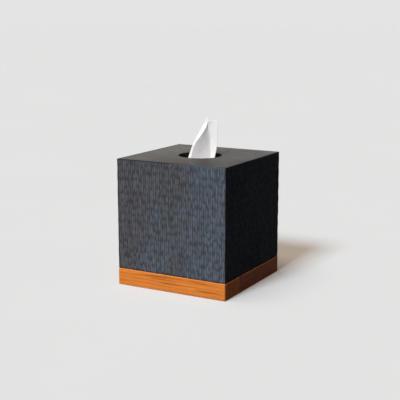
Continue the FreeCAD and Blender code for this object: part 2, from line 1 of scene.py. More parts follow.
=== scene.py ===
"""Looks of a cube tissue box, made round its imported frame.

A black stained wooden cover, carved on its four sides, stands on a teak base board over a carton of tissues,
and one tissue stands up through the round hole in its top. Metres, +Z up. The front looks along -Y and the
right side along +X.
"""

import logging
import math
from dataclasses import dataclass, field
from enum import Enum
from itertools import product

import bpy
import numpy as np
from mathutils import Matrix, Vector


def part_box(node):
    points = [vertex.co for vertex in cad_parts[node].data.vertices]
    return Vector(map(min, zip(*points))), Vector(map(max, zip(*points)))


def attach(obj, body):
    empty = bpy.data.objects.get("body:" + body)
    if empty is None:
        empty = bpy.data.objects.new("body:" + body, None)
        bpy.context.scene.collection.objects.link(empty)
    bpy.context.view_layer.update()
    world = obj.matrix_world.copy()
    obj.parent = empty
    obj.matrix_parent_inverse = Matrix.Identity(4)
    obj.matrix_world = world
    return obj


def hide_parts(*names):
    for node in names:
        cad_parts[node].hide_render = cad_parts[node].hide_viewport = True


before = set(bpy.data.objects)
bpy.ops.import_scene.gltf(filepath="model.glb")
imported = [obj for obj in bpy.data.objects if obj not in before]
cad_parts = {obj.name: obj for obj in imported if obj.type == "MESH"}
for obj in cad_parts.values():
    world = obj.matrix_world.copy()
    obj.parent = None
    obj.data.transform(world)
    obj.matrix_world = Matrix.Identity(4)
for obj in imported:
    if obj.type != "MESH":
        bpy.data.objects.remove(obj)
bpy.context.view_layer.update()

LOG = logging.getLogger("tissue_box")
BODY = "root"

Span = tuple[float, float]
Triple = tuple[float, float, float]
Colour = Triple
Waves = tuple[int, float, float]
Socket = bpy.types.NodeSocket
Input = Socket | float | tuple
Inputs = dict[str | int, Input]
Outputs = bpy.types.bpy_prop_collection


class Side(Enum):
    """The cover's four sides, as quarter turns about +Z from the front."""

    FRONT = 0
    RIGHT = 1
    BACK = 2
    LEFT = 3


class Slot(Enum):
    """Material slots for the pieces that are made anew."""

    CARVED = "black_carved_wood"
    SMOOTH = "black_smooth_wood"
    TISSUE = "tissue_paper"


# Numbers and surfaces


def smooth_step(share: np.ndarray) -> np.ndarray:
    """A share from 0 to 1 with soft ends: three times its square less twice its cube."""
    held = np.clip(share, 0.0, 1.0)
    return held * held * (3.0 - 2.0 * held)


def hat_weights(places: np.ndarray, stations: np.ndarray) -> np.ndarray:
    """How much each station counts at each place.

    The weight is 1 at the station itself and falls in a straight line to 0 at its neighbours.

    Args:
        places: Where the weights are wanted, in the stations' own measure.
        stations: The rising places of the stations.

    Returns:
        One row for each place and one column for each station.
    """
    return np.stack([np.interp(places, stations, unit) for unit in np.eye(len(stations))], axis=1)


def wave_field(rng: np.random.Generator, first: np.ndarray, second: np.ndarray, count: int,
               lowest: float, highest: float) -> np.ndarray:
    """A soft random field about 0: plane sine waves of random heading, pitch and phase, added up.

    The sum is divided by the square root of their count.

    Args:
        rng: The seeded source of the waves.
        first: The first parameter at each point.
        second: The second parameter at each point.
        count: How many waves are added.
        lowest: The fewest waves for each unit of the parameters.
        highest: The most waves for each unit of the parameters.

    Returns:
        The field's value at each point.
    """
    heading = rng.uniform(0.0, math.tau, count)
    pitch = rng.uniform(lowest, highest, count) * math.tau
    phase = rng.uniform(0.0, math.tau, count)
    total = np.zeros(np.broadcast(first, second).shape)
    for turn, rate, start in zip(heading, pitch, phase):
        total += np.sin(rate * (first * math.cos(turn) + second * math.sin(turn)) + start)
    return total / math.sqrt(count)


def grid_quads(rows: int, columns: int, wrap_rows: bool = False, wrap_columns: bool = False) -> np.ndarray:
    """The quads of a grid whose points are numbered row by row.

    Args:
        rows: How many rows of points there are.
        columns: How many points each row has.
        wrap_rows: Whether the last row joins the first.
        wrap_columns: Whether each row's last point joins its first.

    Returns:
        One row of four point numbers for each quad.
    """
    row = np.arange(rows if wrap_rows else rows - 1)[:, None]
    column = np.arange(columns if wrap_columns else columns - 1)[None, :]
    next_row = (row + 1) % rows
    next_column = (column + 1) % columns
    corners = [row * columns + column, row * columns + next_column,
               next_row * columns + next_column, next_row * columns + column]
    return np.stack([np.broadcast_to(corner, (row.size, column.size)) for corner in corners], -1).reshape(-1, 4)


def ring(radius: np.ndarray, turn: np.ndarray, height: np.ndarray) -> np.ndarray:
    """Points of X, Y and Z at distances from the middle, turns round it and heights."""
    return np.stack([radius * np.cos(turn), radius * np.sin(turn), height + 0.0 * turn], axis=-1)


def new_piece(name: str, points: np.ndarray, faces: list[list[int]], smooth: bool = True) -> bpy.types.Object:
    """An object with a mesh of its own at the origin.

    Args:
        name: The object's name.
        points: One row of X, Y and Z for each vertex, in metres.
        faces: The vertex numbers of each face.
        smooth: Whether the faces are shaded smooth.

    Returns:
        The linked object.
    """
    mesh = bpy.data.meshes.new(name)
    mesh.from_pydata(points.reshape(-1, 3).tolist(), [], faces)
    mesh.polygons.foreach_set("use_smooth", np.full(len(mesh.polygons), smooth))
    mesh.update()
    piece = bpy.data.objects.new(name, mesh)
    bpy.context.scene.collection.objects.link(piece)
    return piece


def add_field(piece: bpy.types.Object, name: str, values: np.ndarray) -> None:
    """Store one number at each vertex of a piece, for its material to read."""
    layer = piece.data.attributes.new(name, "FLOAT", "POINT")
    layer.data.foreach_set("value", values.astype(np.float32).ravel())


def quarter_turned(points: np.ndarray, side: Side) -> np.ndarray:
    """Points of the front side, turned about +Z to another side.

    Args:
        points: Rows of X, Y and Z.
        side: The side that they are turned to.

    Returns:
        The turned rows.
    """
    angle = side.value * math.pi / 2
    turn = np.array([[math.cos(angle), -math.sin(angle), 0.0], [math.sin(angle), math.cos(angle), 0.0],
                     [0.0, 0.0, 1.0]])
    return points @ np.round(turn).T


def settle(piece: bpy.types.Object, material: bpy.types.Material, replaced: str) -> None:
    """Dress a new piece, let it ride on the frame and stand for a node, and report it.

    Args:
        piece: The new piece.
        material: Its finish.
        replaced: The node that it stands for.
    """
    piece.data.materials.append(material)
    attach(piece, BODY)
    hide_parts(replaced)
    LOG.info("%s: %d faces, in place of %s", piece.name, len(piece.data.polygons), replaced)


def dress(node: str, material: bpy.types.Material) -> None:
    """Give a node of the frame a finish, and report it.

    Args:
        node: The node's name.
        material: Its finish.
    """
    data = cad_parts[node].data
    data.materials.clear()
    data.materials.append(material)
    LOG.info("%s: dressed in %s", node, material.name)


# Shader nodes


class Nodes:
    """A node tree being written, with short calls for the nodes that the finishes use."""

    def __init__(self, tree: bpy.types.NodeTree) -> None:
        """Keep the tree that the nodes go into."""
        self.tree = tree

    def feed(self, socket: Socket, value: Input) -> None:
        """Join a socket to another one, or set its value.

        Args:
            socket: The socket to feed.
            value: Another node's output, a number, a vector or a colour.
        """
        if isinstance(value, Socket):
            self.tree.links.new(value, socket)
        else:
            socket.default_value = (*value, 1.0) if socket.type == "RGBA" else value

    def fill(self, node: bpy.types.Node, inputs: Inputs) -> bpy.types.Node:
        """Feed several inputs of a node.

        Args:
            node: The node.
            inputs: What each input gets, by the input's name or number.

        Returns:
            The same node.
        """
        for name, value in inputs.items():
            self.feed(node.inputs[name], value)
        return node

    def add(self, kind: str, inputs: Inputs | None = None, **settings: object) -> bpy.types.Node:
        """Make a node.

        Args:
            kind: The node's type.
            inputs: What each input gets, by the input's name or number.
            **settings: The node's own properties.

        Returns:
            The node.
        """
        node = self.tree.nodes.new(kind)
        for name, value in settings.items():
            setattr(node, name, value)
        return self.fill(node, inputs or {})

    def effect(self, tree: bpy.types.NodeTree, inputs: Inputs) -> Outputs:
        """The outputs of a shared effect, placed here with values of its own."""
        return self.add("ShaderNodeGroup", inputs, node_tree=tree).outputs

    def math(self, operation: str, first: Input, second: Input = 0.0, third: Input = 0.0) -> Socket:
        """One step of arithmetic on two or three values."""
        return self.add("ShaderNodeMath", {0: first, 1: second, 2: third}, operation=operation).outputs[0]

    def times(self, first: Input, second: Input) -> Socket:
        """One value times another."""
        return self.math("MULTIPLY", first, second)

    def spread(self, value: Input, span: Span, onto: Span = (0.0, 1.0)) -> Socket:
        """A value carried from one span onto another with soft ends, and held inside it."""
        (low, high), (to_low, to_high) = span, onto
        inputs = {"Value": value, "From Min": low, "From Max": high, "To Min": to_low, "To Max": to_high}
        return self.add("ShaderNodeMapRange", inputs, interpolation_type="SMOOTHSTEP").outputs["Result"]

    def noise(self, place: Socket, scale: Input, detail: float = 2.0, roughness: float = 0.5,
              warp: float = 0.0) -> Socket:
        """A soft noise from 0 to 1."""
        inputs = {"Vector": place, "Scale": scale, "Detail": detail, "Roughness": roughness, "Distortion": warp}
        return self.add("ShaderNodeTexNoise", inputs).outputs["Fac"]

    def drawn_noise(self, place: Socket, stretch: Triple, detail: float, roughness: float = 0.5,
                    warp: float = 0.0) -> Socket:
        """A soft noise from 0 to 1 with its own scale along each axis."""
        return self.noise(self.mapped(place, scale=stretch), 1.0, detail, roughness, warp)

    def mapped(self, place: Socket, scale: Triple = (1.0, 1.0, 1.0), shift: Triple = (0.0, 0.0, 0.0),
               turn: Triple = (0.0, 0.0, 0.0)) -> Socket:
        """A place stretched, turned and moved."""
        inputs = {"Vector": place, "Location": shift, "Rotation": turn, "Scale": scale}
        return self.add("ShaderNodeMapping", inputs).outputs[0]

    def parts(self, vector: Socket) -> Outputs:
        """A vector's X, Y and Z, by name."""
        return self.add("ShaderNodeSeparateXYZ", {0: vector}).outputs

    def grey(self, value: Input) -> Socket:
        """A colour whose three parts are one value."""
        return self.add("ShaderNodeCombineColor", {0: value, 1: value, 2: value}).outputs[0]

    def mix(self, share: Input, first: Input, second: Input, blend: str = "MIX") -> Socket:
        """Mix two colours.

        Args:
            share: How far the second colour counts, from 0 to 1.
            first: The first colour.
            second: The second colour.
            blend: How the second colour is laid on the first.

        Returns:
            The mixed colour.
        """
        node = self.add("ShaderNodeMix", data_type="RGBA", blend_type=blend)
        sockets = {socket.identifier: socket for socket in node.inputs}
        for identifier, value in (("Factor_Float", share), ("A_Color", first), ("B_Color", second)):
            self.feed(sockets[identifier], value)
        return next(socket for socket in node.outputs if socket.identifier == "Result_Color")

    def tinted(self, colour: Input, tint: Input) -> Socket:
        """A colour times a tint."""
        return self.mix(1.0, colour, tint, "MULTIPLY")

    def bump(self, height: Socket, strength: float, distance: float, normal: Socket | None = None) -> Socket:
        """A normal tilted by a height.

        Args:
            height: The height, from 0 to 1.
            strength: How far it tilts the normal, from 0 to 1.
            distance: How high 1 stands, in metres.
            normal: A normal that is already tilted.

        Returns:
            The new normal.
        """
        inputs = {"Height": height, "Strength": strength, "Distance": distance}
        if normal is not None:
            inputs["Normal"] = normal
        return self.add("ShaderNodeBump", inputs).outputs["Normal"]

    def here(self) -> Socket:
        """The place on the piece in the frame's own metres."""
        return self.add("ShaderNodeTexCoord").outputs["Object"]

    def stored(self, name: str) -> Socket:
        """The number that the piece holds under a name."""
        return self.add("ShaderNodeAttribute", attribute_name=name).outputs["Fac"]


def new_group(name: str, inputs: dict[str, str], outputs: list[str]) -> tuple[Nodes, bpy.types.Node]:
    """An empty shader node group.

    Args:
        name: The group's name.
        inputs: Each input's name with its kind.
        outputs: The names of its outputs, all values.

    Returns:
        The group's writer, which holds its tree, and the node that gives its inputs.
    """
    tree = bpy.data.node_groups.new(name, "ShaderNodeTree")
    for label, kind in inputs.items():
        tree.interface.new_socket(name=label, in_out="INPUT", socket_type="NodeSocket" + kind)
    for label in outputs:
        tree.interface.new_socket(name=label, in_out="OUTPUT", socket_type="NodeSocketFloat")
    nodes = Nodes(tree)
    return nodes, nodes.add("NodeGroupInput")


@dataclass
class Effects:
    """The surface effects that several finishes share, each made once.

    A stretch is how fine a noise is along each axis, and a span is the part of its values that counts.
    """

    ring_drift: Triple = (9.0, 34.0, 34.0)
    fibre_stretch: Triple = (30.0, 900.0, 900.0)
    pore_stretch: Triple = (130.0, 2100.0, 2100.0)
    late_wood: Span = (-0.5, 1.0)
    pore_span: Span = (0.60, 0.72)
    mottle_ratio: float = 3.7
    mottle_span: Span = (0.3, 0.7)
    edge_span: Span = (0.01, 0.16)
    edge_samples: int = 6

    def __post_init__(self) -> None:
        """Build the groups."""
        self.grain = self.make_grain()
        self.mottle = self.make_mottle()
        self.arris = self.make_arris()

    def make_grain(self) -> bpy.types.NodeTree:
        """Wood cut from a trunk whose length lies along X.

        Rings are the sine of the distance from the pith over the ring's width, bent by slow noise. Fibres
        and pores are noises drawn out along X.

        Returns:
            The group's tree.
        """
        nodes, given = new_group("wood_grain", {"Place": "Vector", "Ring Width": "Float", "Wander": "Float"},
                                 ["Rings", "Fibres", "Pores"])
        place = given.outputs["Place"]
        drift = nodes.drawn_noise(place, self.ring_drift, 3.0, 0.55)
        bend = nodes.times(nodes.math("SUBTRACT", drift, 0.5), given.outputs["Wander"])
        parts = nodes.parts(place)
        squares = [nodes.math("POWER", parts[axis], 2.0) for axis in ("Y", "Z")]
        radius = nodes.math("SQRT", nodes.math("ADD", *squares))
        rings = nodes.math("DIVIDE", nodes.math("ADD", radius, bend), given.outputs["Ring Width"])
        wave = nodes.math("SINE", nodes.times(rings, math.tau))
        fibres = nodes.drawn_noise(place, self.fibre_stretch, 4.0, 0.6, 0.4)
        dashes = nodes.drawn_noise(place, self.pore_stretch, 2.0)
        nodes.add("NodeGroupOutput", {"Rings": nodes.spread(wave, self.late_wood), "Fibres": fibres,
                                      "Pores": nodes.spread(dashes, self.pore_span)})
        return nodes.tree

    def make_mottle(self) -> bpy.types.NodeTree:
        """Slow uneven patches: two noises of unlike size, averaged and drawn apart.

        Returns:
            The group's tree.
        """
        nodes, given = new_group("mottle", {"Place": "Vector", "Scale": "Float"}, ["Patches"])
        place, scale = given.outputs["Place"], given.outputs["Scale"]
        small = nodes.noise(place, nodes.times(scale, self.mottle_ratio), 4.0, 0.6)
        both = nodes.times(nodes.math("ADD", nodes.noise(place, scale), small), 0.5)
        nodes.add("NodeGroupOutput", {"Patches": nodes.spread(both, self.mottle_span)})
        return nodes.tree

    def make_arris(self) -> bpy.types.NodeTree:
        """Edges: how far a rounded normal leaves the flat one.

        Returns:
            The group's tree.
        """
        nodes, given = new_group("pale_arris", {"Reach": "Float"}, ["Edge"])
        rounded = nodes.add("ShaderNodeBevel", {"Radius": given.outputs["Reach"]}, samples=self.edge_samples)
        flat = nodes.add("ShaderNodeNewGeometry")
        along = nodes.add("ShaderNodeVectorMath", {0: rounded.outputs[0], 1: flat.outputs["Normal"]},
                          operation="DOT_PRODUCT")
        leaving = nodes.math("SUBTRACT", 1.0, along.outputs["Value"])
        nodes.add("NodeGroupOutput", {"Edge": nodes.spread(leaving, self.edge_span)})
        return nodes.tree


EFFECTS = Effects()


def new_material(name: str) -> tuple[bpy.types.Material, Nodes, bpy.types.Node]:
    """A material with one Principled shader.

    Args:
        name: The material's name.

    Returns:
        The material, its writer and its shader.
    """
    material = bpy.data.materials.new(name)
    material.use_nodes = True
    material.node_tree.nodes.clear()
    nodes = Nodes(material.node_tree)
    shader = nodes.add("ShaderNodeBsdfPrincipled")
    nodes.add("ShaderNodeOutputMaterial", {"Surface": shader.outputs[0]})
    return material, nodes, shader


# Finishes


@dataclass(frozen=True)
class TeakFinish:
    """Oiled teak, orange-brown, its grain running from left to right.

    The pith is where the trunk's middle lay, in metres from the origin, across and up. The end tone is how
    much the end grain keeps of the long grain's colour. A share is how strongly a mark shows, and widths,
    reaches and relief are in metres.
    """

    name: str
    pith: Span
    end_tone: Colour
    pale: Colour = (0.70, 0.215, 0.034)
    deep: Colour = (0.46, 0.112, 0.016)
    ruddy: Colour = (0.60, 0.142, 0.028)
    vein: Colour = (0.20, 0.046, 0.009)
    pale_edge: Colour = (0.70, 0.30, 0.09)
    ring_share: float = 0.40
    ruddy_share: float = 0.30
    vein_share: float = 0.88
    pore_share: float = 0.35
    pale_edge_share: float = 0.28
    ring_width: float = 0.0042
    ring_wander: float = 0.0036
    patch_scale: float = 30.0
    vein_stretch: Triple = (9.0, 260.0, 260.0)
    vein_span: Span = (0.52, 0.67)
    streak_span: Span = (0.30, 0.72)
    streak_tones: Span = (0.86, 1.12)
    pale_edge_reach: float = 0.0009
    roughness: Span = (0.50, 0.66)
    specular: float = 0.10
    relief: float = 0.00012

    def make(self) -> bpy.types.Material:
        """Build the material: rings, long veins, fibres and pores set the colour, and the ends are darker.

        Returns:
            The material.
        """
        material, nodes, shader = new_material(self.name)
        across, up = self.pith
        place = nodes.mapped(nodes.here(), shift=(across, across, up))
        grain = nodes.effect(EFFECTS.grain,
                             {"Place": place, "Ring Width": self.ring_width, "Wander": self.ring_wander})
        patches = nodes.effect(EFFECTS.mottle, {"Place": place, "Scale": self.patch_scale})["Patches"]
        wood = nodes.mix(nodes.times(grain["Rings"], self.ring_share), self.pale, self.deep)
        ruddy = nodes.mix(nodes.times(patches, self.ruddy_share), wood, self.ruddy)
        veins = nodes.drawn_noise(place, self.vein_stretch, 3.0, 0.6, 0.9)
        veined = nodes.mix(nodes.spread(veins, self.vein_span, (0.0, self.vein_share)), ruddy, self.vein)
        streaks = nodes.spread(grain["Fibres"], self.streak_span, self.streak_tones)
        pores = nodes.times(grain["Pores"], self.pore_share)
        pored = nodes.mix(pores, nodes.tinted(veined, nodes.grey(streaks)), self.vein)
        facing = nodes.parts(nodes.add("ShaderNodeNewGeometry").outputs["Normal"])
        end = nodes.spread(nodes.math("ABSOLUTE", facing["X"]), (0.6, 0.9))
        ended = nodes.mix(end, pored, nodes.tinted(pored, self.end_tone))
        edge = nodes.effect(EFFECTS.arris, {"Reach": self.pale_edge_reach})["Edge"]
        height = nodes.math("SUBTRACT", nodes.times(grain["Fibres"], 0.5), grain["Pores"])
        nodes.fill(shader, {
            "Base Color": nodes.mix(nodes.times(edge, self.pale_edge_share), ended, self.pale_edge),
            "Roughness": nodes.spread(grain["Fibres"], (0.3, 0.7), self.roughness),
            "Specular IOR Level": self.specular,
            "Normal": nodes.bump(height, 0.35, self.relief),
        })
        return material


@dataclass(frozen=True)
class BlackWoodFinish:
    """Wood stained black, with its grain still showing.

    Where it is carved, the piece holds the strokes' depth and tone, and its grain runs upright; the
    strokes' depth is painted as light on their middles and as shade on the ridges between them. The colour is
    painted darker, as shade, on a bearing to the right and to the back, from the span's start to its end, and
    the patches drift between cool and warm over the tint's span. Stroke tones are the darkest stroke's and how
    much paler the palest is. Spans, widths, the pith and relief are in metres.
    """

    name: str
    plain_and_painted_lit: Colour
    pore_and_painted_shade: Colour
    specular: float
    roughness: Span
    carved: bool
    tint_drift: Span
    painted_shade: float = 0.0
    painted_shade_bearing: Span = (0.9, -0.6)
    painted_shade_span: Span = (-0.07, 0.09)
    tint_span: Span = (-0.02, 0.08)
    streak: float = 0.2
    cool: Colour = (1.01, 1.18, 1.37)
    warm: Colour = (0.95, 0.90, 0.92)
    rim_shade: Colour = (0.25, 0.25, 0.25)
    patch_stretch: Triple = (1.0, 1.0, 0.5)
    patch_scale: float = 22.0
    pith: Triple = (0.0, 0.21, 0.34)
    ring_width: float = 0.0046
    ring_wander: float = 0.012
    stroke_span: Span = (0.0, 0.68)
    stroke_tones: Span = (0.62, 0.30)
    pore_share: float = 0.4
    relief: float = 0.00010

    def pale_share(self, nodes: Nodes, pores: Socket) -> Socket:
        """How far the wood takes its paler colour: where it is carved, painted light and shade from its
        strokes, and else its pores, which are darker.

        Args:
            nodes: The material's writer.
            pores: The grain's pores.

        Returns:
            The share of the paler colour.
        """
        if not self.carved:
            return nodes.math("SUBTRACT", 1.0, nodes.times(pores, self.pore_share))
        # Painted light and shade: a stroke's middle takes the painted light and the ridges round it the painted
        # shade, scaled by the stroke's own random tone.
        darkest, more = self.stroke_tones
        tone = nodes.math("MULTIPLY_ADD", nodes.stored("tone"), more, darkest)
        return nodes.times(nodes.spread(nodes.stored("depth_and_highlight"), self.stroke_span), tone)

    def make(self) -> bpy.types.Material:
        """Build the material from the grain, slow patches and, where it is carved, the strokes' depth, which is
        painted as light and shade.

        Returns:
            The material.
        """
        material, nodes, shader = new_material(self.name)
        here = nodes.here()
        turn = (0.0, math.pi / 2, 0.0) if self.carved else (0.0, 0.0, 0.0)
        place = nodes.mapped(here, turn=turn, shift=self.pith)
        grain = nodes.effect(EFFECTS.grain,
                             {"Place": place, "Ring Width": self.ring_width, "Wander": self.ring_wander})
        drawn = nodes.mapped(here, scale=self.patch_stretch)
        clouds = nodes.effect(EFFECTS.mottle, {"Place": drawn, "Scale": self.patch_scale})["Patches"]
        parts = nodes.parts(here)
        patches = nodes.math("ADD", clouds, nodes.spread(parts["X"], self.tint_span, self.tint_drift))
        # Painted shade: the colour darkens along this bearing over the span, by the painted shade's share.
        rightward, backward = self.painted_shade_bearing
        bearing = nodes.math("MULTIPLY_ADD", parts["X"], rightward, nodes.times(parts["Y"], backward))
        painted_shade = nodes.spread(bearing, self.painted_shade_span, (1.0, 1.0 - self.painted_shade))
        # Carved: painted light and shade from the strokes. Smooth: the wood's own colour, darker in the pores.
        wood = nodes.mix(self.pale_share(nodes, grain["Pores"]), self.pore_and_painted_shade, self.plain_and_painted_lit)
        streaks = nodes.spread(grain["Fibres"], (0.25, 0.75), (1.0 - self.streak, 1.0 + self.streak))
        streaked_and_shaded = nodes.tinted(wood, nodes.grey(nodes.times(streaks, painted_shade)))
        # The stain's cool and warm patches laid over the grain, the strokes' painted light and shade, and the
        # painted shade along the bearing.
        stained = nodes.tinted(streaked_and_shaded, nodes.mix(patches, self.cool, self.warm))
        # Painted shade from the rim field: darker along the carved boards' corners, foot and top, and on the
        # top board's hole and outer edges.
        nodes.fill(shader, {
            "Base Color": nodes.mix(nodes.stored("rim"), stained, nodes.tinted(stained, self.rim_shade)),
            "Roughness": nodes.spread(patches, (0.0, 1.0), self.roughness),
            "Specular IOR Level": self.specular,
            "Normal": nodes.bump(grain["Fibres"], 0.3, self.relief),
        })
        return material


@dataclass(frozen=True)
class StripFinish:
    """Planed strips of the base's own wood, unfinished and dusty."""

    name: str = "planed_strip"
    pale: Colour = (0.50, 0.24, 0.09)
    deep: Colour = (0.34, 0.14, 0.045)
    pith: Triple = (0.0, 0.11, 0.05)
    ring_width: float = 0.0024
    ring_wander: float = 0.003
    roughness: Span = (0.65, 0.85)

    def make(self) -> bpy.types.Material:
        """Build the material from the shared grain.

        Returns:
            The material.
        """
        material, nodes, shader = new_material(self.name)
        place = nodes.mapped(nodes.here(), shift=self.pith)
        grain = nodes.effect(EFFECTS.grain,
                             {"Place": place, "Ring Width": self.ring_width, "Wander": self.ring_wander})
        nodes.fill(shader, {
            "Base Color": nodes.mix(grain["Rings"], self.pale, self.deep),
            "Roughness": nodes.spread(grain["Fibres"], (0.2, 0.8), self.roughness),
            "Normal": nodes.bump(grain["Fibres"], 0.3, 0.0001),
        })
        return material


@dataclass(frozen=True)
class CardFinish:
    """White-faced folding card with a soft fibre."""

    name: str = "folding_card"
    face: Colour = (0.78, 0.77, 0.74)
    fibre: Colour = (0.66, 0.63, 0.57)
    fleck_stretch: Triple = (900.0, 900.0, 2600.0)
    patch_scale: float = 18.0
    roughness: Span = (0.5, 0.75)

    def make(self) -> bpy.types.Material:
        """Build the material from noise at two sizes.

        Returns:
            The material.
        """
        material, nodes, shader = new_material(self.name)
        here = nodes.here()
        flecks = nodes.drawn_noise(here, self.fleck_stretch, 4.0, 0.6)
        patches = nodes.effect(EFFECTS.mottle, {"Place": here, "Scale": self.patch_scale})["Patches"]
        nodes.fill(shader, {
            "Base Color": nodes.mix(nodes.times(nodes.times(flecks, patches), 0.9), self.face, self.fibre),
            "Roughness": nodes.spread(flecks, (0.2, 0.8), self.roughness),
            "Normal": nodes.bump(flecks, 0.25, 0.00005),
        })
        return material


@dataclass(frozen=True)
class FilmFinish:
    """Thin clear film, slightly creased."""

    name: str = "slit_film"
    tint: Colour = (0.86, 0.89, 0.90)
    pale_tint: Colour = (0.9288, 0.9612, 0.972)
    crease_stretch: Triple = (60.0, 90.0, 60.0)
    alpha: Span = (0.16, 0.34)
    roughness: Span = (0.08, 0.22)

    def make(self) -> bpy.types.Material:
        """Build the material: mostly see-through, with a glossy creased skin.

        Returns:
            The material.
        """
        material, nodes, shader = new_material(self.name)
        creases = nodes.drawn_noise(nodes.here(), self.crease_stretch, 5.0, 0.6, 1.5)
        nodes.fill(shader, {
            "Base Color": nodes.mix(creases, self.tint, self.pale_tint),
            "Alpha": nodes.spread(creases, (0.3, 0.8), self.alpha),
            "Roughness": nodes.spread(creases, (0.2, 0.8), self.roughness),
            "Normal": nodes.bump(creases, 0.5, 0.0006),
        })
        return material


@dataclass(frozen=True)
class TissueFinish:
    """Soft white two-ply tissue."""

    name: str = "soft_tissue"
    face: Colour = (0.78, 0.737, 0.708)
    shaded: Colour = (0.73, 0.675, 0.640)
    cloud_scale: float = 420.0
    crepe_stretch: Triple = (700.0, 700.0, 3200.0)
    crumple_stretch: Triple = (230.0, 230.0, 110.0)
    crumple_height: float = 0.0009
    crepe_height: float = 0.00006
    roughness: Span = (0.85, 0.97)

    def make(self) -> bpy.types.Material:
        """Build the material: crepe ridges, cloudy fibre and a little light let through.

        Returns:
            The material.
        """
        material, nodes, shader = new_material(self.name)
        here = nodes.here()
        clouds = nodes.noise(here, self.cloud_scale, 4.0, 0.65)
        crepe = nodes.drawn_noise(here, self.crepe_stretch, 3.0, 0.55, 0.6)
        soft = nodes.drawn_noise(here, self.crumple_stretch, 3.0, 0.55, 0.8)
        crumpled = nodes.bump(soft, 0.5, self.crumple_height)
        height = nodes.math("ADD", nodes.times(clouds, 0.4), crepe)
        nodes.fill(shader, {
            "Base Color": nodes.mix(clouds, self.face, self.shaded),
            "Roughness": nodes.spread(clouds, (0.2, 0.8), self.roughness),
            "Specular IOR Level": 0.12,
            "Subsurface Weight": 0.15,
            "Subsurface Radius": (1.0, 0.95, 0.9),
            "Subsurface Scale": 0.001,
            "Sheen Weight": 0.06,
            "Sheen Roughness": 0.6,
            "Normal": nodes.bump(height, 0.22, self.crepe_height, crumpled),
        })
        return material


# The cover


@dataclass(kw_only=True)
class CoverBoard:
    """What the cover's boards share: their material, their width and levels, and the ease of their edges.

    Sizes are in metres, and the levels come from the frame.
    """

    material: bpy.types.Material
    half_width: float = 0.075
    foot: float = field(default_factory=lambda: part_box("front_panel")[0].z)
    under: float = field(default_factory=lambda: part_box("top_panel")[0].z)
    top: float = field(default_factory=lambda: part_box("top_panel")[1].z)
    arris: float = 0.0009


